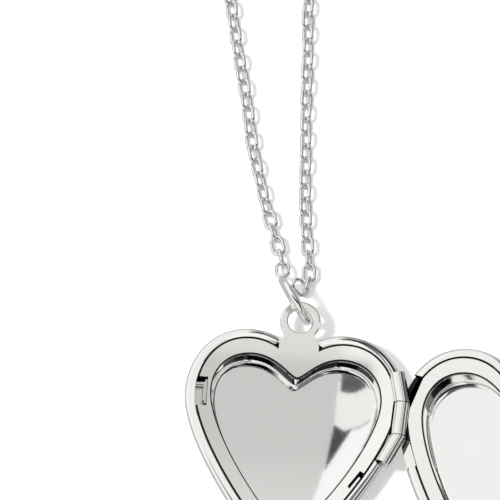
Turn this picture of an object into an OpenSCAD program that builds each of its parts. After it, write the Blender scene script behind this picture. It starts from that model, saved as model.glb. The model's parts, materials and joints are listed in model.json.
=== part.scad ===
// Heart locket, lying open on its back with its chain laid out above it.
// The origin is the middle of the back shell's flat crown, +Z is up and +Y runs from the tip to the bail.

/* [Heart] */
// How deep the back half is, from its crown to the parting plane
back_depth = 3.3; // [2:0.1:5]
// How deep the puffed front half is
front_depth = 5.1; // [3:0.1:8]
// Width of the rounded shoulder outside the frame
shoulder_w = 1.05; // [0.6:0.05:1.6]
// How far down the shoulder's rounding reaches
shoulder_h = 0.55; // [0.3:0.05:1]
// Thickness of the domed shells
shell_t = 0.45; // [0.3:0.05:0.8]
// How far the back's flat crown reaches, as a share of the outline
back_crown = 0.8; // [0.75:0.01:0.85]
// How far the puffed front's flat crown reaches, as a share of the outline
front_crown = 0.3; // [0.2:0.05:0.5]

/* [Frame and well] */
// Thickness of the frame
frame_t = 0.5; // [0.3:0.05:0.8]
// Depth of the photo well below the frame
well_depth = 2.5; // [1:0.1:2.5]
// Thickness of the well's wall and floor
well_t = 0.3; // [0.2:0.05:0.5]
// Gap left between the closed halves
parting_gap = 0.04; // [0.02:0.01:0.1]

/* [Bail and jump ring] */
// Distance of the bail loop's centre from the heart's middle
bail_y = 14.75; // [14:0.05:17]
// Radius of the bail loop at the middle of its band
bail_r = 1.8; // [1.4:0.1:2.4]
// Width of the bail's flat band
bail_w = 0.9; // [0.6:0.05:1.2]
// Thickness of the bail's band
bail_t = 0.7; // [0.5:0.05:1]
// Radius of the jump ring at the middle of its wire
ring_r = 2.7; // [2:0.1:4]
// Wire radius of the jump ring
ring_wire_r = 0.4; // [0.2:0.05:0.6]

/* [Hinge] */
// Outer radius of the knuckles
knuckle_r = 0.85; // [0.6:0.05:1.2]
// Radius of the pin wire
pin_r = 0.31; // [0.2:0.01:0.5]
// Length of the middle knuckle
knuckle_len = 3.7; // [2:0.1:6]
// How far the front leans up off flat when it is fully open
rest_fold = 17; // [0:1:30]

/* [Chain] */
// Width of the cable chain
chain_d = 1.4; // [1:0.1:2.5]
// Radius of the coil at the middle of its turns
coil_r = 8.1; // [7:0.1:12]
// Outer diameter of the spring ring clasp
clasp_d = 5; // [4:0.5:8]

/* [Hidden] */

silver = [0.86, 0.87, 0.88];
bright = [0.93, 0.93, 0.94];
shade = [0.72, 0.73, 0.75];

steps = 15;
middle = [0, 2];
lobe = [5.3, 13.55];
side = [12.2, 5.6];
tip = [0.8, -13.3];

hinge_at = [11.6, 4.25];
hinge_lean = 4.2;
upper_tilt = 16.5;
upper_len = 3.4;
lower_tilt = 22;
lower_len = 3.6;
knuckle_gap = 0.1;
swing_gap = 0.16;

// The ring stands nearly upright in the bail and leans a little to the left.
ring_at = [-0.8, 16.95, 3.4];
ring_turn = 124;
ring_lean = 10;

coil_at = [-5.6, 69.5, 0];
coil_lift = 0.25;
coil_w = 6.2;
coil_h = 2 * chain_d;

left_route = [
    [-2.2, 20.4, 1.7], [-2.2, 21.6, 1.1], [-2.6, 23.2, 0.8], [-3.3, 25.2, 0.75], [-4, 27.3, 0.75],
    [-4.7, 29.4, 0.75], [-5.6, 32.6, 0.75], [-6.5, 36, 0.75], [-7.1, 39.4, 0.75], [-7.8, 42.8, 0.75],
    [-8.6, 46.2, 0.75], [-9.3, 49.6, 0.75], [-10, 53, 0.75], [-11, 56.4, 0.8], [-12.6, 59.6, 0.9],
    [-14.3, 62.5, 0.95]];
right_route = [
    [-0.7, 19.6, 1.6], [0, 18.9, 1.1], [0.7, 19.2, 0.8], [0.8, 20.6, 0.75], [0.6, 23, 0.75],
    [0.2, 26, 0.75], [-0.1, 29, 0.75], [-0.3, 32.2, 0.75], [-0.4, 35.4, 0.75], [-0.6, 38.6, 0.75],
    [-0.7, 41.8, 0.75], [-0.8, 45, 0.75], [-0.9, 48.2, 0.75], [-1.1, 51.4, 0.75], [-1, 54.6, 0.8],
    [0.4, 57.8, 1.2], [2.2, 60.6, 2], [3.3, 62.6, 2.35]];

// Heart outline: four curves down the right side, then the same mirrored back up the left.
function bezier(a, b, c, d, t) =
    pow(1 - t, 3) * a + 3 * t * pow(1 - t, 2) * b + 3 * t * t * (1 - t) * c + pow(t, 3) * d;
function curve(a, b, c, d, n) = [for (i = [0 : n - 1]) bezier(a, b, c, d, i / n)];
function mirrored(points) = [for (i = [len(points) - 1 : -1 : 0]) [-points[i][0], points[i][1]]];
function inner(points) = [for (i = [1 : len(points) - 1]) points[i]];
half_heart = concat(
    curve([0, 11.1], [1.2, 12.4], [3, lobe[1]], lobe, steps),
    curve(lobe, [9.5, lobe[1]], [side[0], 9.9], side, steps + 2),
    curve(side, [side[0], 1], [6.3, -8], tip, steps + 5),
    curve(tip, [0.5, -13.6], [0.25, -13.75], [0, -13.75], 2));
heart = concat(half_heart, [[0, -13.75]], mirrored(inner(half_heart)));

half_well = concat(
    curve([0, 8.05], [0.8, 8.05], [2.3, 10.5], [5, 10.5], steps),
    curve([5, 10.5], [7.6, 10.5], [9.3, 8.6], [9.3, 6], steps),
    curve([9.3, 6], [9.3, 2.4], [5, -4.9], [0, -9.9], steps + 4));
well = concat(half_well, [[0, -9.9]], mirrored(inner(half_well)));

// A solid through copies of one outline, each scaled about the heart's middle and set at a height.
module loft(outline, levels) {
    n = len(outline);
    m = len(levels);
    points = [for (l = levels) for (p = outline)
        [middle[0] + l[0] * (p[0] - middle[0]), middle[1] + l[0] * (p[1] - middle[1]), l[1]]];
    sides = [for (j = [0 : m - 2]) for (i = [0 : n - 1])
        [j * n + i, (j + 1) * n + i, (j + 1) * n + (i + 1) % n, j * n + (i + 1) % n]];
    top = [[for (i = [0 : n - 1]) i]];
    bottom = [[for (i = [n - 1 : -1 : 0]) (m - 1) * n + i]];
    polyhedron(points, concat(sides, top, bottom));
}

// Half section of a shell: a rounded shoulder, then an arc down to the flat crown.
function belly(depth, crown) = [for (a = [0 : 15 : 90])
    [crown + (1 - crown) * cos(a), -0.06 - shoulder_h - (depth - 0.06 - shoulder_h) * sin(a)]];
function dome(depth, crown) = concat(
    [for (a = [0 : 18 : 89]) [1 - 0.087 * (1 - sin(a)), -0.06 - shoulder_h * (1 - cos(a))]],
    belly(depth, crown));

module frame_plan(edge) {
    offset(r = -shoulder_w - edge, $fn = 32) polygon(heart);
}

// Parts of a half are drawn with the parting plane at z = 0 and the dome below it.
module in_hinge() {
    translate([hinge_at[0], hinge_at[1], 0]) rotate([0, 0, -hinge_lean]) children();
}

module in_back() {
    translate([0, 0, back_depth]) children();
}

module in_front() {
    in_back() in_hinge() rotate([0, -rest_fold, 0]) mirror([1, 0, 0])
        rotate([0, 0, hinge_lean]) translate([-hinge_at[0], -hinge_at[1], 0]) children();
}

module along_upper() {
    in_hinge() translate([0, knuckle_len / 2 + knuckle_gap, 0]) rotate([0, 0, upper_tilt])
        rotate([-90, 0, 0]) children();
}

module along_lower() {
    in_hinge() translate([0, -knuckle_len / 2 - knuckle_gap, 0]) rotate([0, 0, -lower_tilt])
        rotate([90, 0, 0]) children();
}

// Room for the two outer knuckles: upright slots, open on the hinge side.
module upper_slot(r, low) {
    along_upper() translate([-r, -2, -0.4]) cube([r + 3, low + 2, upper_len + 0.4 + r - knuckle_r]);
}

module lower_slot(r, low) {
    along_lower() translate([-r, -low, -0.4]) cube([r + 3, low + 2, lower_len + 0.4 + r - knuckle_r]);
}

module middle_slot(r, low) {
    in_hinge() translate([-r, -knuckle_len / 2 - knuckle_gap, -low])
        cube([2 * r + 3, knuckle_len + 2 * knuckle_gap, low + 2]);
}

module beyond_hinge(clear) {
    in_hinge() translate([-clear, -20, -12]) cube([12, 40, 20]);
}

// A pressed pan, with closed troughs under the lower and middle knuckles.
module shell(depth, crown, slot_r, middle_r) {
    wall = 1 - shell_t / side[0];
    inside = belly(depth - shell_t, crown);
    difference() {
        loft(heart, dome(depth, crown));
        difference() {
            loft(heart, concat([[wall, -frame_t - 0.2]],
                [for (i = [1 : len(inside) - 1]) [wall * inside[i][0], inside[i][1]]]));
            lower_slot(slot_r + 0.3, slot_r + 0.3);
            middle_slot(middle_r + 0.3, middle_r + 0.3);
        }
        translate([0, 0, -frame_t - 0.25]) linear_extrude(3) frame_plan(0.01);
        upper_slot(slot_r, slot_r);
        lower_slot(slot_r, slot_r);
        middle_slot(middle_r, middle_r);
    }
}

// The bail's tab crosses the shoulder here, between two rounded ends.
module bail_gap() {
    linear_extrude(3) difference() {
        translate([-2.75, 8]) square([5.5, 8]);
        for (k = [-1, 1]) translate([k * 2.78, 12.42]) circle(0.56, $fn = 32);
    }
}

module back_shell() {
    color(silver) in_back() difference() {
        shell(back_depth, back_crown, knuckle_r + 0.04, knuckle_r + swing_gap);
        beyond_hinge(0.06);
        translate([0, 0, -1.1]) bail_gap();
    }
}

module front_shell() {
    color(silver) difference() {
        in_front() shell(front_depth, front_crown, knuckle_r + swing_gap, knuckle_r + swing_gap);
        in_back() in_hinge() translate([-12 + 0.06, -20, -12]) cube([12, 40, 24]);
    }
}

// The frame's upper edge is stepped in, which leaves the fine groove beside the shoulder.
module frame_plate() {
    translate([0, 0, -frame_t]) linear_extrude(frame_t - 0.28) difference() {
        frame_plan(0.02);
        polygon(well);
    }
    translate([0, 0, -0.3]) linear_extrude(0.3 - parting_gap / 2) difference() {
        frame_plan(0.25);
        polygon(well);
    }
}

// The tab grows out of the frame, narrows to a neck and widens into the bail.
module bail_tab() {
    translate([0, 0, -frame_t]) linear_extrude(frame_t - parting_gap / 2) difference() {
        intersection() {
            offset(r = -0.7, $fn = 40) offset(r = 0.7, $fn = 40) {
                translate([0, bail_y]) circle(bail_r + bail_w / 2, $fn = 60);
                translate([-1.75, 10]) square([3.5, bail_y - 10]);
                translate([-4, 8]) square([8, 3.9]);
            }
            translate([-2.2, 8]) square([4.4, bail_y - 8]);
        }
        polygon(well);
        translate([0, bail_y]) circle(bail_r, $fn = 60);
    }
}

module back_frame() {
    color(silver) in_back() difference() {
        union() {
            frame_plate();
            bail_tab();
            translate([0, bail_y, -(parting_gap + bail_t) / 2]) rotate_extrude($fn = 60)
                translate([bail_r, 0]) offset(r = 0.2, $fn = 24)
                    square([bail_w - 0.4, bail_t - 0.4], center = true);
        }
        translate([0, bail_y, -2]) cylinder(r = bail_r - bail_w / 2, h = 4, $fn = 60);
        translate([0, 0, -2]) linear_extrude(4) polygon(well);
        upper_slot(knuckle_r + 0.02, 2);
        lower_slot(knuckle_r + 0.02, 2);
        middle_slot(knuckle_r + swing_gap, 2);
        beyond_hinge(0.1);
        catch_notch();
        lance();
    }
}

module catch_notch() {
    translate([-11.8, 4.2, -2]) cube([2.05, 3.3, 4]);
}

// A small tab freed by a U-shaped cut, on the flank below the hinge.
module lance() {
    translate([7.9, -2.6, -2]) rotate([0, 0, -35]) {
        translate([-0.72, -0.3, 0]) cube([1.44, 0.6, 4]);
        translate([-0.72, -1.9, 0]) cube([0.17, 1.9, 4]);
        translate([0.55, -1.9, 0]) cube([0.17, 1.9, 4]);
    }
}

module front_frame() {
    color(silver) in_front() difference() {
        frame_plate();
        upper_slot(knuckle_r + swing_gap, 2);
        lower_slot(knuckle_r + swing_gap, 2);
        middle_slot(knuckle_r + 0.02, 2);
        beyond_hinge(0.1);
    }
}

// A pressed dish hangs under the frame: up the inside from the floor, over the lip and down the outside.
module dish() {
    grow = 1 + well_t / 8;
    loft(well, [[0.945, -well_depth], [0.965, -well_depth + 0.05], [0.978, -well_depth + 0.18],
        [0.983, -well_depth + 0.35], [1, -frame_t], [grow, -frame_t],
        [grow * 0.98, -well_depth], [grow * 0.95, -well_depth - well_t]]);
}

module back_well() {
    color(bright) in_back() dish();
}

module front_well() {
    color(bright) in_front() mirror([1, 0, 0]) dish();
}

// The pin is a wire that bends at each end of the middle knuckle, with a mitre at each bend.
module past_upper() {
    in_hinge() translate([0, knuckle_len / 2 + knuckle_gap, 0]) rotate([0, 0, upper_tilt / 2])
        translate([-3, 0, -3]) cube([6, 6, 6]);
}

module past_lower() {
    in_hinge() translate([0, -knuckle_len / 2 - knuckle_gap, 0]) rotate([0, 0, -lower_tilt / 2])
        translate([-3, -6, -3]) cube([6, 6, 6]);
}

module pin_wire() {
    difference() {
        in_hinge() translate([0, -knuckle_len / 2 - 0.5, 0]) rotate([-90, 0, 0])
            cylinder(r = pin_r, h = knuckle_len + 1, $fn = 32);
        past_upper();
        past_lower();
    }
    intersection() {
        along_upper() translate([0, 0, -0.5]) cylinder(r = pin_r, h = upper_len + 0.52, $fn = 32);
        past_upper();
    }
    intersection() {
        along_lower() translate([0, 0, -0.5]) cylinder(r = pin_r, h = lower_len + 0.52, $fn = 32);
        past_lower();
    }
}

module knuckle_upper() {
    color(silver) in_back() difference() {
        along_upper() translate([0, 0, -0.4]) cylinder(r = knuckle_r, h = upper_len + 0.4, $fn = 40);
        in_hinge() translate([-2, -4, -2]) cube([4, 4 + knuckle_len / 2 + knuckle_gap, 4]);
        along_upper() translate([0, 0, -1]) cylinder(r = pin_r + 0.01, h = upper_len + 2, $fn = 32);
    }
}

module knuckle_lower() {
    color(silver) in_back() difference() {
        along_lower() translate([0, 0, -0.4]) cylinder(r = knuckle_r, h = lower_len + 0.4, $fn = 40);
        in_hinge() translate([-2, -knuckle_len / 2 - knuckle_gap, -2]) cube([4, 6, 4]);
        along_lower() translate([0, 0, -1]) cylinder(r = pin_r + 0.01, h = lower_len + 2, $fn = 32);
    }
}

module knuckle_middle() {
    color(silver) in_back() in_hinge() translate([0, -knuckle_len / 2, 0]) rotate([-90, 0, 0])
        difference() {
            cylinder(r = knuckle_r, h = knuckle_len, $fn = 40);
            translate([0, 0, -1]) cylinder(r = pin_r + 0.05, h = knuckle_len + 2, $fn = 40);
        }
}

module hinge_pin() {
    color(shade) in_back() pin_wire();
}

// A folded spring leaf with a rolled end, inside the notch that the front's nib snaps behind.
module catch_tongue() {
    color(shade) in_back() translate([0, 4.5, 0]) {
        translate([-11.2, 0, -1.3]) cube([1.4, 2.7, 0.2]);
        translate([-10.02, 0, -1.3]) cube([0.22, 2.7, 1.1]);
        translate([-10.2, 0.3, -0.4]) cube([0.3, 2.1, 0.2]);
        translate([-11.2, 2.3, -0.95]) rotate([0, 90, 0]) cylinder(r = 0.4, h = 1.3, $fn = 32);
    }
}

module catch_nib() {
    color(shade) in_front() translate([0, 4.9, 0]) {
        translate([-10.85, 0, -parting_gap / 2]) cube([0.28, 1.5, 1]);
        translate([-10.65, 0.2, 0.75]) cube([0.22, 1.1, 0.22]);
    }
}

module jump_ring() {
    color(bright) translate(ring_at) rotate([0, 0, ring_turn]) rotate([-ring_lean, 0, 0])
        rotate([90, 0, 0]) rotate([0, 0, 250]) rotate_extrude(angle = 357, $fn = 60)
            translate([ring_r, 0]) circle(ring_wire_r, $fn = 20);
}

function unit(v) = v / norm(v);
function heading(route, i) = unit(route[min(i + 1, len(route) - 1)] - route[max(i - 1, 0)]);
function ring_points(at, dir, r) = let (across = unit(cross(dir, [0, 0, 1])), up = cross(across, dir))
    [for (a = [0 : 45 : 315]) at + r * (cos(a) * across + sin(a) * up)];

// A plain tube with one ring of eight corners at each point of the route.
module tube(route, r) {
    n = len(route);
    points = [for (i = [0 : n - 1]) each ring_points(route[i], heading(route, i), r)];
    sides = [for (i = [0 : n - 2]) for (k = [0 : 7]) let (a = i * 8 + k, b = i * 8 + (k + 1) % 8)
        each [[a, b, b + 8], [a, b + 8, a + 8]]];
    ends = [[for (k = [7 : -1 : 0]) k], [for (k = [0 : 7]) (n - 1) * 8 + k]];
    polyhedron(points, concat(sides, ends));
}

module chain_left() {
    color(silver) tube(left_route, chain_d / 2);
}

module chain_right() {
    color(silver) tube(right_route, chain_d / 2);
}

module chain_coil() {
    color(silver) translate(coil_at + [0, 0, coil_lift]) rotate_extrude($fn = 72)
        translate([coil_r - coil_w / 2, 0]) square([coil_w, coil_h]);
}

module coil_tie() {
    color(shade) translate(coil_at) rotate([0, 0, 60]) translate([coil_r - coil_w / 2 - 0.25, -0.6, 0])
        difference() {
            cube([coil_w + 0.5, 1.2, coil_h + 2 * coil_lift]);
            translate([0.19, -1, coil_lift - 0.03]) cube([coil_w + 0.12, 4, coil_h + 0.06]);
        }
}

// Spring ring: a round tube left open on one side, closed by a wire bolt that slides round inside it.
module clasp_ring() {
    r = clasp_d / 2 - 0.6;
    color(silver) translate(coil_at + [1.2, 0, 0.65]) {
        rotate([0, 0, 130]) difference() {
            rotate_extrude(angle = 310, $fn = 60) translate([r, 0]) circle(0.6, $fn = 24);
            rotate([0, 0, -5]) rotate_extrude(angle = 320, $fn = 60) translate([r, 0]) circle(0.38, $fn = 24);
            rotate([0, 0, 6]) rotate_extrude(angle = 58, $fn = 60) translate([r + 0.2, -0.16]) square([0.6, 0.32]);
        }
        translate([clasp_d / 2 + 0.45, 0, 0]) rotate_extrude($fn = 32) translate([0.5, 0]) circle(0.2, $fn = 16);
    }
}

module clasp_bolt() {
    r = clasp_d / 2 - 0.6;
    color(shade) translate(coil_at + [1.2, 0, 0.65]) {
        rotate([0, 0, 74]) rotate_extrude(angle = 88, $fn = 60) translate([r, 0]) circle(0.3, $fn = 20);
        rotate([0, 0, 142]) translate([r + 0.1, -0.14, -0.12]) cube([0.95, 0.28, 0.24]);
    }
}

module end_ring() {
    color(bright) translate(coil_at + [-3.3, 0, 0.3]) rotate_extrude($fn = 48)
        translate([1.25, 0]) circle(0.28, $fn = 16);
}

back_shell();
back_frame();
back_well();
knuckle_upper();
knuckle_lower();
hinge_pin();
catch_tongue();
front_shell();
front_frame();
front_well();
knuckle_middle();
catch_nib();
jump_ring();
chain_left();
chain_right();
chain_coil();
coil_tie();
clasp_ring();
clasp_bolt();
end_ring();
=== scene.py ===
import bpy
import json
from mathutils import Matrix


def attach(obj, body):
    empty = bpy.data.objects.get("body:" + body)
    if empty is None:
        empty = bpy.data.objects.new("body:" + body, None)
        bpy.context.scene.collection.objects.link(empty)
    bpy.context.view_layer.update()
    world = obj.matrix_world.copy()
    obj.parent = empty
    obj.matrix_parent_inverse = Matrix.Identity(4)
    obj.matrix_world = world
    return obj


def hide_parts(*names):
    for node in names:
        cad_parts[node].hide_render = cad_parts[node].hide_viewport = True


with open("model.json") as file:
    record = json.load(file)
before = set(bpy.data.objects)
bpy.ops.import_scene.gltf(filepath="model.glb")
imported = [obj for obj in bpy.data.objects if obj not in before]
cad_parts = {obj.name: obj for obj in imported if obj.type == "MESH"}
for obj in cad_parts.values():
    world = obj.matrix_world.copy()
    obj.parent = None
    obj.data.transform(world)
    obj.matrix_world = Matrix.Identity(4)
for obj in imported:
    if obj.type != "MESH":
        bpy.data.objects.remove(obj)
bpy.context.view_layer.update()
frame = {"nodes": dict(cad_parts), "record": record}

import json
import math
import random

import bmesh
import bpy
from mathutils import Matrix, Vector

mm = 0.001
scene = bpy.context.scene


class Sock:
    # One shader socket, with arithmetic written as operators.
    def __init__(self, tree, out=None):
        self.tree = tree
        self.out = out

    def feed(self, target, value):
        if isinstance(value, Sock):
            self.tree.links.new(value.out, target)
        else:
            target.default_value = value

    def node(self, kind, inputs=(), output=0, **settings):
        made = self.tree.nodes.new(kind)
        for name, value in settings.items():
            setattr(made, name, value)
        for name, value in dict(inputs).items():
            self.feed(made.inputs[name], value)
        return Sock(self.tree, made.outputs[output])

    def maths(self, operation, a, b):
        return self.node("ShaderNodeMath", {0: a, 1: b}, operation=operation)

    def step(self, low, high, bottom=0, top=1):
        # A smooth step from bottom to top, as this value goes from low to high.
        return self.node("ShaderNodeMapRange", {0: self, 1: low, 2: high, 3: bottom, 4: top},
                         interpolation_type="SMOOTHSTEP")

    def blend(self, start, end):
        # A colour that goes from start to end, as this value goes from 0 to 1.
        return self.node("ShaderNodeMix", {0: self, 6: (*start, 1), 7: (*end, 1)}, output=2, data_type="RGBA")

    def __add__(self, other):
        return self.maths("ADD", self, other)

    def __radd__(self, other):
        return self.maths("ADD", other, self)

    def __sub__(self, other):
        return self.maths("SUBTRACT", self, other)

    def __rsub__(self, other):
        return self.maths("SUBTRACT", other, self)

    def __mul__(self, other):
        return self.maths("MULTIPLY", self, other)

    def __rmul__(self, other):
        return self.maths("MULTIPLY", other, self)


def newMaterial(name):
    material = bpy.data.materials.new(name)
    material.use_nodes = True
    tree = material.node_tree
    return material, tree.nodes["Principled BSDF"], Sock(tree).node("ShaderNodeTexCoord", output="Object")


# Metal finishes: colours, roughness and how much it varies, noise scale and strength of the ripple.
finishes = {
    "polishedSilver": {"light": (0.93, 0.93, 0.915), "dark": (0.89, 0.89, 0.875),
                       "rough": 0.03, "spread": 0.05, "grain": 9000, "bump": 0.02},
    "chainSilver": {"light": (0.93, 0.93, 0.915), "dark": (0.86, 0.86, 0.845),
                    "rough": 0.08, "spread": 0.08, "grain": 4000, "bump": 0.05},
    "mirrorSilver": {"light": (0.94, 0.94, 0.93), "dark": (0.92, 0.92, 0.91),
                     "rough": 0.015, "spread": 0.02, "grain": 3000, "bump": 0.005},
    "springWire": {"light": (0.72, 0.72, 0.7), "dark": (0.6, 0.6, 0.59),
                   "rough": 0.16, "spread": 0.12, "grain": 6000, "bump": 0.08},
    # Not a finish of the metal: near-black painted shade and dark reflection for the seams, slots, troughs
    # and lip.
    "seamPaintedShade": {"light": (0.05, 0.05, 0.05), "dark": (0.02, 0.02, 0.02),
                    "rough": 0.45, "spread": 0.1, "grain": 6000, "bump": 0.1},
}
cloudScale = 260
rippleDepth = 0.02 * mm


def metal(name):
    # Plated metal: faint clouding in its colour, and a fine ripple in its gloss and surface.
    finish = finishes[name]
    material, shader, place = newMaterial(name)
    cloud = place.node("ShaderNodeTexNoise", {"Vector": place, "Scale": cloudScale, "Detail": 3},
                       output="Fac")
    fine = place.node("ShaderNodeTexNoise", {"Vector": place, "Scale": finish["grain"], "Detail": 2},
                      output="Fac")
    ripple = place.node("ShaderNodeBump", {"Height": fine, "Strength": finish["bump"],
                                           "Distance": rippleDepth})
    place.feed(shader.inputs["Base Color"], cloud.blend(finish["dark"], finish["light"]))
    place.feed(shader.inputs["Roughness"], finish["rough"] + fine * finish["spread"])
    place.feed(shader.inputs["Normal"], ripple)
    shader.inputs["Metallic"].default_value = 1
    return material


metals = {name: metal(name) for name in finishes}


def added(name, data):
    obj = bpy.data.objects.new(name, data)
    scene.collection.objects.link(obj)
    return obj


def addedMesh(name, verts, faces, material):
    mesh = bpy.data.meshes.new(name)
    mesh.from_pydata(verts, [], faces)
    mesh.materials.append(material)
    return added(name, mesh)


def paint(obj, material):
    obj.data.materials.clear()
    obj.data.materials.append(material)


print("stage: camera")

# The camera: its direction from the object, its up direction, and the point and width it frames, in mm.
camera = {
    "back": (-0.045, -0.322, 0.945),
    "up": (-0.079, 0.945, 0.318),
    "target": (-5.9, 23.6, 0),
    "distance": 600,
    "width": 55.6,
    "clip": (10, 5000),
}


def turned(back, up):
    z = Vector(back).normalized()
    x = Vector(up).cross(z).normalized()
    return Matrix((x, z.cross(x), z)).transposed()


lensward = Vector(camera["back"]).normalized()
eye = Vector(camera["target"]) + lensward * camera["distance"]
lens = bpy.data.cameras.new("camera")
lens.lens = lens.sensor_width * camera["distance"] / camera["width"]
lens.clip_start = camera["clip"][0] * mm
lens.clip_end = camera["clip"][1] * mm
viewer = added("camera", lens)
viewer.matrix_world = Matrix.Translation(eye * mm) @ turned(camera["back"], camera["up"]).to_4x4()
scene.camera = viewer

print("stage: chain")

# The chain: sizes in mm, turns in degrees. The first twistedLinks links twist further, by up to startTwist.
chain = {
    "pitch": 1.58,
    "linkLength": 2.42,
    "linkWidth": 1.76,
    "wire": 0.42,
    "wireSides": 8,
    "ovalSteps": 20,
    "roll": 42,
    "wobble": 7,
    "startTwist": 48,
    "twistedLinks": 6,
    "halfLength": 228,
}

# The coil past the top of the view: radii and heights in mm, start angles in degrees.
coil = {
    "centre": (-5.6, 69.5),
    "outer": 10.4,
    "inner": 5.8,
    "turns": 3.5,
    "pointsPerTurn": 24,
    "leftStart": 200,
    "leftHeight": 0.95,
    "rightStart": -20,
    "rightHeight": 2.35,
}

# Points that each half passes through on its way to the coil, in mm.
leftRoute = [
    (-2.2, 20.4, 1.7), (-2.2, 21.6, 1.1), (-2.6, 23.2, 0.8), (-3.3, 25.2, 0.75), (-4, 27.3, 0.75),
    (-4.7, 29.4, 0.75), (-5.6, 32.6, 0.75), (-6.5, 36, 0.75), (-7.1, 39.4, 0.75), (-7.8, 42.8, 0.75),
    (-8.6, 46.2, 0.75), (-9.3, 49.6, 0.75), (-10, 53, 0.75), (-11, 56.4, 0.8), (-12.6, 59.6, 0.9),
    (-14.3, 62.5, 0.95)]
rightRoute = [
    (-0.7, 19.6, 1.6), (0, 18.9, 1.1), (0.7, 19.2, 0.8), (0.8, 20.6, 0.75), (0.6, 23, 0.75),
    (0.2, 26, 0.75), (-0.1, 29, 0.75), (-0.3, 32.2, 0.75), (-0.4, 35.4, 0.75), (-0.6, 38.6, 0.75),
    (-0.7, 41.8, 0.75), (-0.8, 45, 0.75), (-0.9, 48.2, 0.75), (-1.1, 51.4, 0.75), (-1, 54.6, 0.8),
    (0.4, 57.8, 1.2), (2.2, 60.6, 2), (3.3, 62.6, 2.35)]


def smoothLine(points, spacing, samples=20):
    # Evenly spaced points on a smooth curve through the route, which is sampled finely first.
    ends = [Vector(points[0]) * 2 - Vector(points[1])] + [Vector(p) for p in points]
    ends.append(ends[-1] * 2 - ends[-2])
    dense = []
    for i in range(1, len(ends) - 2):
        a, b, c, d = ends[i - 1:i + 3]
        for k in range(samples):
            t = k / samples
            dense.append(0.5 * (2 * b + (c - a) * t + (2 * a - 5 * b + 4 * c - d) * t * t
                                + (3 * b - a - 3 * c + d) * t ** 3))
    dense.append(ends[-2])
    line = [dense[0]]
    carried = 0
    for a, b in zip(dense, dense[1:]):
        length = (b - a).length
        while carried + length >= spacing:
            share = (spacing - carried) / length
            a = a.lerp(b, share)
            length = (b - a).length
            carried = 0
            line.append(a)
        carried += length
    return line


def coilTurns(startAngle, direction, height):
    # The wound length: a flat spiral of turns from the outside in, ending beside the clasp.
    points = []
    count = int(coil["turns"] * coil["pointsPerTurn"])
    for i in range(count + 1):
        share = i / count
        angle = math.radians(startAngle) + direction * share * coil["turns"] * 2 * math.pi
        radius = coil["outer"] + (coil["inner"] - coil["outer"]) * share
        points.append((coil["centre"][0] + radius * math.cos(angle),
                       coil["centre"][1] + radius * math.sin(angle), height))
    return points


def linkShape():
    # One oval link as rings of wire round a stadium, lying flat along X.
    steps = chain["ovalSteps"]
    sides = chain["wireSides"]
    halfStraight = (chain["linkLength"] - chain["linkWidth"]) / 2
    bend = (chain["linkWidth"] - chain["wire"]) / 2
    verts = []
    for i in range(steps):
        angle = 2 * math.pi * i / steps
        shift = halfStraight if math.cos(angle) > 0 else -halfStraight
        outward = Vector((math.cos(angle), math.sin(angle), 0))
        centre = Vector((shift, 0, 0)) + outward * bend
        for k in range(sides):
            turn = 2 * math.pi * k / sides
            reach = outward * math.cos(turn) + Vector((0, 0, 1)) * math.sin(turn)
            verts.append(centre + reach * chain["wire"] / 2)
    faces = []
    for i in range(steps):
        j = (i + 1) % steps
        for k in range(sides):
            m = (k + 1) % sides
            faces.append((i * sides + k, j * sides + k, j * sides + m, i * sides + m))
    return verts, faces


def makeChain(name, line, seed):
    # Every second link is turned a quarter, and each sits a little differently.
    chance = random.Random(seed)
    shape, shapeFaces = linkShape()
    verts = []
    faces = []
    for i, (a, b) in enumerate(zip(line, line[1:])):
        along = (b - a).normalized()
        side = along.cross(Vector((0, 0, 1))).normalized()
        roll = chain["roll"] if i % 2 else chain["roll"] - 90
        roll += chance.uniform(-chain["wobble"], chain["wobble"])
        roll += chain["startTwist"] * max(0, 1 - i / chain["twistedLinks"])
        place = Matrix((along, side, along.cross(side))).transposed()
        place = place @ Matrix.Rotation(math.radians(roll), 3, "X")
        base = len(verts)
        verts += [((a + b) / 2 + place @ v) * mm for v in shape]
        faces += [tuple(base + k for k in f) for f in shapeFaces]
    obj = addedMesh(name, verts, faces, metals["chainSilver"])
    obj.data.shade_smooth()
    return obj


leftLine = smoothLine(leftRoute + coilTurns(coil["leftStart"], -1, coil["leftHeight"]), chain["pitch"])
rightLine = smoothLine(rightRoute + coilTurns(coil["rightStart"], 1, coil["rightHeight"]), chain["pitch"])
print("chain lengths", len(leftLine) * chain["pitch"], len(rightLine) * chain["pitch"])
leftChain = makeChain("chain_left_links", leftLine, 3)
rightChain = makeChain("chain_right_links", rightLine, 8)
for piece in (leftChain, rightChain):
    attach(piece, "back")
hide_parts("chain_left", "chain_coil")
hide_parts("chain_right")
clasp = [frame["nodes"]["clasp_ring"], frame["nodes"]["clasp_bolt"]]
for piece, line, far in ((leftChain, leftLine, clasp), (rightChain, rightLine, [frame["nodes"]["end_ring"]])):
    line[0] * mm
    [p * mm for p in line]

print("stage: locket")

# How the two halves lie: heights and places in mm, angles in degrees.
locket = {"closingHeight": 3.3, "hinge": (11.6, 4.25), "hingeLean": -4.2, "openTilt": 17, "middleY": 2}

# Finish of the shells, frames and wells: sizes in mm, angles in degrees, flatArea in square mm.
# Corners closer than weld are joined, and so are faces that differ by less than flatten. Edges sharper
# than smooth are rounded by bevel, and the frames' edge round the well by lip. What is then sharper than
# crease stays crisp, and so do the borders of faces larger than flatArea, so that they look quite flat.
dress = {
    "weld": 0.002,
    "flatten": 0.6,
    "bevel": 0.045,
    "bevelSteps": 2,
    "lip": 0.16,
    "lipSteps": 3,
    "smooth": 32,
    "crease": 47,
    "flatArea": 8,
}
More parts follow.
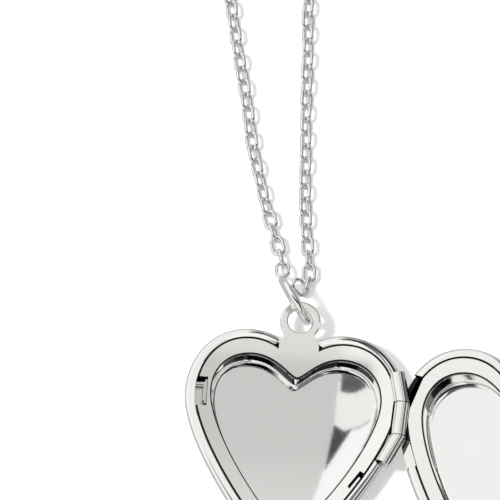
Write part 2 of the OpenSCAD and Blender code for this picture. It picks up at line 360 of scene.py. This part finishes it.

# Where the painted shade (shade and dark reflections in the seams) and the lip lie, in mm from the heart's
# axes and up from the closing plane.
seams = {
    "grooveFloor": -0.28,
    "frameTop": -0.02,
    "near": 0.02,
    "lipRadius": 12.2,
    "lipFoot": -0.3,
    "lipSlope": (0.1, 0.975),
    "catchX": -9.5,
    "bail": (2.6, 11.2),
    "besideBail": (3.6, 11),
    "shellWallFoot": -0.76,
    "troughX": (8, 11.3),
    "troughY": (0.3, 9.8),
    "troughZ": (-1.3, -0.3),
    "upperTroughY": 2.2,
    "troughWallX": 10.9,
    "troughCutY": 2.25,
}

# The upward part of a face's normal: more than level on a flat face, less than upright on a wall.
level = 0.9
upright = 0.3
steep = 0.5

# These turn each half into the same axes: heart upright in XY, closing plane at 0, hinge at +X.
back = Matrix.Translation((0, 0, -locket["closingHeight"] * mm))
hinge = Matrix.Translation((locket["hinge"][0] * mm, locket["hinge"][1] * mm, 0))
lean = Matrix.Rotation(math.radians(locket["hingeLean"]), 4, "Z")
fold = Matrix.Rotation(math.radians(locket["openTilt"]), 4, "Y")
flip = Matrix.Scale(-1, 4, (1, 0, 0))
front = hinge @ lean @ flip @ fold @ lean.inverted() @ hinge.inverted() @ back


def isSeam(name, middle, normal):
    # Faces painted near-black as shade and dark reflection: the frames' groove, outer wall and lip, the
    # shells' wall beside the groove, the hinge's upper troughs.
    x, y, z = (value / mm for value in middle)
    inward = Vector((-x, locket["middleY"] - y))
    facesIn = normal.xy.dot(inward) > 0
    isWall = abs(normal.z) < upright
    if name.endswith("frame"):
        grooveFloor = abs(z - seams["grooveFloor"]) < seams["near"] and normal.z > level
        outerWall = isWall and normal.xy.dot(middle.xy) > 0
        slopes = seams["lipSlope"][0] < normal.z < seams["lipSlope"][1]
        lip = slopes and facesIn and inward.length < seams["lipRadius"] and z > seams["lipFoot"]
        onBail = abs(x) < seams["bail"][0] and y > seams["bail"][1]
        return (grooveFloor or outerWall or lip) and not onBail
    at = {"troughX": x, "troughY": y, "troughZ": z}
    if all(seams[key][0] < value < seams[key][1] for key, value in at.items()):
        troughFloor = normal.z > level and y > seams["upperTroughY"]
        return troughFloor or abs(normal.z) < steep and x < seams["troughWallX"]
    besideBail = abs(x) < seams["besideBail"][0] and y > seams["besideBail"][1]
    return isWall and facesIn and z > seams["shellWallFoot"] and not besideBail


def isLip(edge, local):
    # The frame's upper edge round the well, without the catch's notch.
    if len(edge.link_faces) != 2:
        return False
    x, y, z = (value / mm for value in local @ ((edge.verts[0].co + edge.verts[1].co) / 2))
    inward = Vector((-x, locket["middleY"] - y))
    normals = [local.to_3x3() @ face.normal for face in edge.link_faces]
    wall = any(abs(normal.z) < upright and normal.xy.dot(inward) > 0 for normal in normals)
    top = any(normal.z > level for normal in normals) and abs(z - seams["frameTop"]) < seams["near"]
    return wall and top and inward.length < seams["lipRadius"] and x > seams["catchX"]


def bevelled(made, edges, size, steps, clamp):
    bmesh.ops.bevel(made, geom=edges, offset=size * mm, segments=steps, profile=0.5,
                    affect="EDGES", clamp_overlap=clamp)


def angleAcross(edge):
    return abs(edge.calc_face_angle(0))


def dressed(name, tint, body):
    # A copy of a CAD node with softened edges, smooth curves and flat faces kept flat.
    local = front if body == "front" else back
    turn = local.to_3x3()
    made = bmesh.new()
    made.from_mesh(frame["nodes"][name].data)
    bmesh.ops.remove_doubles(made, verts=made.verts, dist=dress["weld"] * mm)
    bmesh.ops.dissolve_limit(made, angle_limit=math.radians(dress["flatten"]),
                             verts=made.verts, edges=made.edges)
    if name.endswith("frame"):
        lip = [edge for edge in made.edges if isLip(edge, local)]
        bevelled(made, lip, dress["lip"], dress["lipSteps"], False)
    if name.endswith("shell"):
        # A cut between the troughs, so that they can be painted apart: the painted shade on the upper
        # trough's floor stops at the cut.
        inverse = local.inverted()
        bmesh.ops.bisect_plane(made, geom=made.verts[:] + made.edges[:] + made.faces[:],
                               plane_co=inverse @ Vector((0, seams["troughCutY"] * mm, 0)),
                               plane_no=inverse.to_3x3() @ Vector((0, 1, 0)))
    smooth = math.radians(dress["smooth"])
    sharp = [edge for edge in made.edges if len(edge.link_faces) == 2 and angleAcross(edge) > smooth]
    bevelled(made, sharp, dress["bevel"], dress["bevelSteps"], True)
    # Faces that isSeam picks take the second slot, which holds near-black painted shade and dark reflection.
    if name.endswith(("frame", "shell")):
        for face in made.faces:
            face.normal_update()
            if isSeam(name, local @ face.calc_center_median(), turn @ face.normal):
                face.material_index = 1
    crease = math.radians(dress["crease"])
    for edge in made.edges:
        flat = any(face.calc_area() > dress["flatArea"] * mm * mm for face in edge.link_faces)
        edge.smooth = not flat and len(edge.link_faces) == 2 and angleAcross(edge) < crease
    for face in made.faces:
        face.smooth = True
    mesh = bpy.data.meshes.new(name + "_dressed")
    made.to_mesh(mesh)
    made.free()
    mesh.materials.append(tint)
    # Second slot: the near-black painted shade and dark reflection.
    mesh.materials.append(metals["seamPaintedShade"])
    obj = added(name + "_dressed", mesh)
    modifier = obj.modifiers.new("flatFaces", "WEIGHTED_NORMAL")
    modifier.keep_sharp = True
    modifier.mode = "FACE_AREA_WITH_ANGLE"
    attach(obj, body)
    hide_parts(name)


slotMetals = {
    "polished_silver": metals["polishedSilver"],
    "mirror_silver": metals["mirrorSilver"],
    "spring_wire": metals["springWire"],
    "link_chain": metals["chainSilver"],
}
for part in frame["record"]["subparts"]:
    if part["material_slot"] in slotMetals:
        paint(frame["nodes"][part["node"]], slotMetals[part["material_slot"]])
for half in ("back", "front"):
    dressed(half + "_shell", metals["polishedSilver"], half)
    dressed(half + "_frame", metals["polishedSilver"], half)
    dressed(half + "_well", metals["mirrorSilver"], half)

# The strip that ties the coil.
tie = {"colour": (0.86, 0.86, 0.83, 1), "rough": 0.45, "spread": 0.2, "grain": 900}
tieMaterial, tieShader, place = newMaterial("tieStrip")
tieNoise = place.node("ShaderNodeTexNoise", {"Vector": place, "Scale": tie["grain"]}, output="Fac")
tieShader.inputs["Base Color"].default_value = tie["colour"]
place.feed(tieShader.inputs["Roughness"], tie["rough"] + tieNoise * tie["spread"])
paint(frame["nodes"]["coil_tie"], tieMaterial)

print("stage: studio")

ground = {"reach": 1200, "colour": (0.95, 0.95, 0.94, 1), "rough": 0.9}
groundPaint, groundShader, _ = newMaterial("floorPaint")
groundShader.inputs["Base Color"].default_value = ground["colour"]
groundShader.inputs["Roughness"].default_value = ground["rough"]
reach = ground["reach"] * mm
floor = addedMesh("floor", [(-reach, -reach, 0), (reach, -reach, 0), (reach, reach, 0), (-reach, reach, 0)],
                  [(0, 1, 2, 3)], groundPaint)
floor.visible_glossy = False

# The pale sky. lens is a dark disc round the camera: its radius, the angle it fades over, how dark it is.
# Between the two heights of horizon the sky falls to horizonShade.
sky = {
    "colour": (1, 1, 0.99, 1),
    "strength": 1,
    "lens": (13, 3, 0.97),
    "horizon": (-0.15, 0.3),
    "horizonShade": 0.55,
}

# Dark panels in the sky that show in the metal. Each is between two angles from straight up, towards +X
# for across and +Y for along, then the angle it fades over.
panels = [
    {"across": (34, 58, 4), "dark": 0.88},
    {"across": (64, 120, 6), "dark": 0.3},
    {"across": (-42, -8, 8), "dark": 0.07},
    {"across": (6, 80, 8), "along": (44, 62, 4), "dark": 0.85},
    {"across": (13, 22, 2), "dark": 0.8},
    {"across": (-33, 38, 8), "along": (-30, -6, 4), "dark": 0.93},
]

world = bpy.data.worlds.new("studio")
scene.world = world
world.use_nodes = True
look = Sock(world.node_tree).node("ShaderNodeTexCoord", output="Generated")
lookX, lookY, lookZ = (look.node("ShaderNodeSeparateXYZ", {0: look}, output=index) for index in range(3))


def between(value, low, high, soft):
    # 1 between two angles, falling to 0 over a soft margin outside them.
    return value.step(low - soft, low) * (1 - value.step(high, high + soft))


def angleFromUp(sideways):
    return sideways.maths("ARCTAN2", sideways, lookZ) * math.degrees(1)


angles = {"across": angleFromUp(lookX), "along": angleFromUp(lookY)}
lensAngle, lensSoft, lensDark = sky["lens"]
towardsLens = lookX * lensward.x + lookY * lensward.y + lookZ * lensward.z
lensCover = towardsLens.step(math.cos(math.radians(lensAngle + lensSoft)), math.cos(math.radians(lensAngle)))
light = 1 - lensCover * lensDark
for panel in panels:
    cover = between(angles["across"], *panel["across"])
    if "along" in panel:
        cover = cover * between(angles["along"], *panel["along"])
    light = light * (1 - cover * panel["dark"])
light = light * lookZ.step(*sky["horizon"], sky["horizonShade"], 1)
shade = world.node_tree.nodes["Background"]
look.feed(shade.inputs["Strength"], light * sky["strength"])
shade.inputs["Color"].default_value = sky["colour"]

# Cards that only show in reflections. An outline says, in mm, where the card shows on the back well's floor.
# lower is how far it hangs below cardHeight, so that a later card covers an earlier one. fade is where a
# card starts and stops growing dimmer, and how much brighter it is before that.
cardHeight = 160
wellFloor = 0.8
cardColour = (1, 1, 0.985)
cards = {
    "floorCard": {"shade": 0.62, "lower": 0, "fade": (-9, 2, 1.22),
                  "outline": [(4.9, 10), (5.13, 6), (4.48, 1.83), (3.57, -1.77), (2.56, -5.39), (0, -14),
                              (-17, -26), (-17, 10)]},
    "frameCard": {"shade": 0.79, "lower": 0,
                  "outline": [(-17, 10), (4.9, 10), (4.6, 18), (-17, 18)]},
    "paleCard": {"shade": 0.9, "lower": 0.5,
                 "outline": [(4.7, 9), (8.7, 9), (8.8, 6.5), (8.52, 4.7), (8.1, 4.25), (7.57, 3.85),
                             (6.99, 3.54), (5.74, 3.17), (4.55, 3.84)]},
    "paleEdgeCard": {"shade": 0.4, "lower": 0.8,
                     "outline": [(6.3, 3.3), (6.99, 3.5), (7.57, 3.81), (8.1, 4.21), (8.52, 4.66),
                                 (8.44, 4.82), (8, 4.39), (7.49, 4), (6.93, 3.7)]},
    "blobCard": {"shade": 0.11, "lower": 1,
                 "outline": [(5.0, 9.9), (5.03, 7.72), (5.9, 7.62), (6.5, 7.7), (7, 7.9), (7.55, 8.28),
                             (7.93, 8.65), (8.1, 9.1), (7.7, 9.9)]},
    "wedgeCard": {"shade": 0.055, "lower": 1,
                  "outline": [(4.55, 3.84), (5.74, 3.17), (6.65, 3.78), (3.75, -1.53)]},
}


def mirrorSpot(point, height):
    # Where the camera's ray through a point of the well's floor lands after it is mirrored upwards.
    at = Vector((point[0], point[1], wellFloor))
    ray = (at - eye).normalized()
    ray.z = -ray.z
    return at + ray * ((height - wellFloor) / ray.z)


def makeCard(name, shade, lower, outline, fade=None):
    height = cardHeight - lower
    material = bpy.data.materials.new(name)
    material.use_nodes = True
    sheet = Sock(material.node_tree)
    colour = (*cardColour, 1)
    if fade:
        start, end = (mirrorSpot((0, y), height).y * mm for y in fade[:2])
        spot = sheet.node("ShaderNodeTexCoord", output="Object")
        depth = sheet.node("ShaderNodeSeparateXYZ", {0: spot}, output=1)
        bright = [channel * fade[2] for channel in cardColour]
        colour = depth.step(start, end).blend(bright, cardColour)
    glow = sheet.node("ShaderNodeEmission", {"Color": colour, "Strength": shade})
    sheet.feed(material.node_tree.nodes["Material Output"].inputs["Surface"], glow)
    verts = [mirrorSpot(point, height) * mm for point in outline]
    obj = addedMesh(name, verts, [tuple(range(len(verts)))], material)
    obj.visible_camera = False
    obj.visible_diffuse = False
    obj.visible_shadow = False


for name, card in cards.items():
    makeCard(name, **card)

# The sun, with its width in degrees, and a fill light that casts no shadow. Neither shows in the metal.
lamps = {"sun": 2.2, "fill": 1, "sunFrom": (-0.52, -0.16, 0.84), "sunWidth": 9}


def sunLamp(name, energy):
    data = bpy.data.lights.new(name, "SUN")
    data.energy = energy
    lamp = added(name, data)
    lamp.visible_glossy = False
    return lamp


sun = sunLamp("sun", lamps["sun"])
sun.data.angle = math.radians(lamps["sunWidth"])
sun.rotation_mode = "QUATERNION"
sun.rotation_quaternion = Vector(lamps["sunFrom"]).to_track_quat("Z", "Y")
fill = sunLamp("fill", lamps["fill"])
fill.data.use_shadow = False

scene.view_settings.view_transform = "Standard"
scene.view_settings.exposure = 0
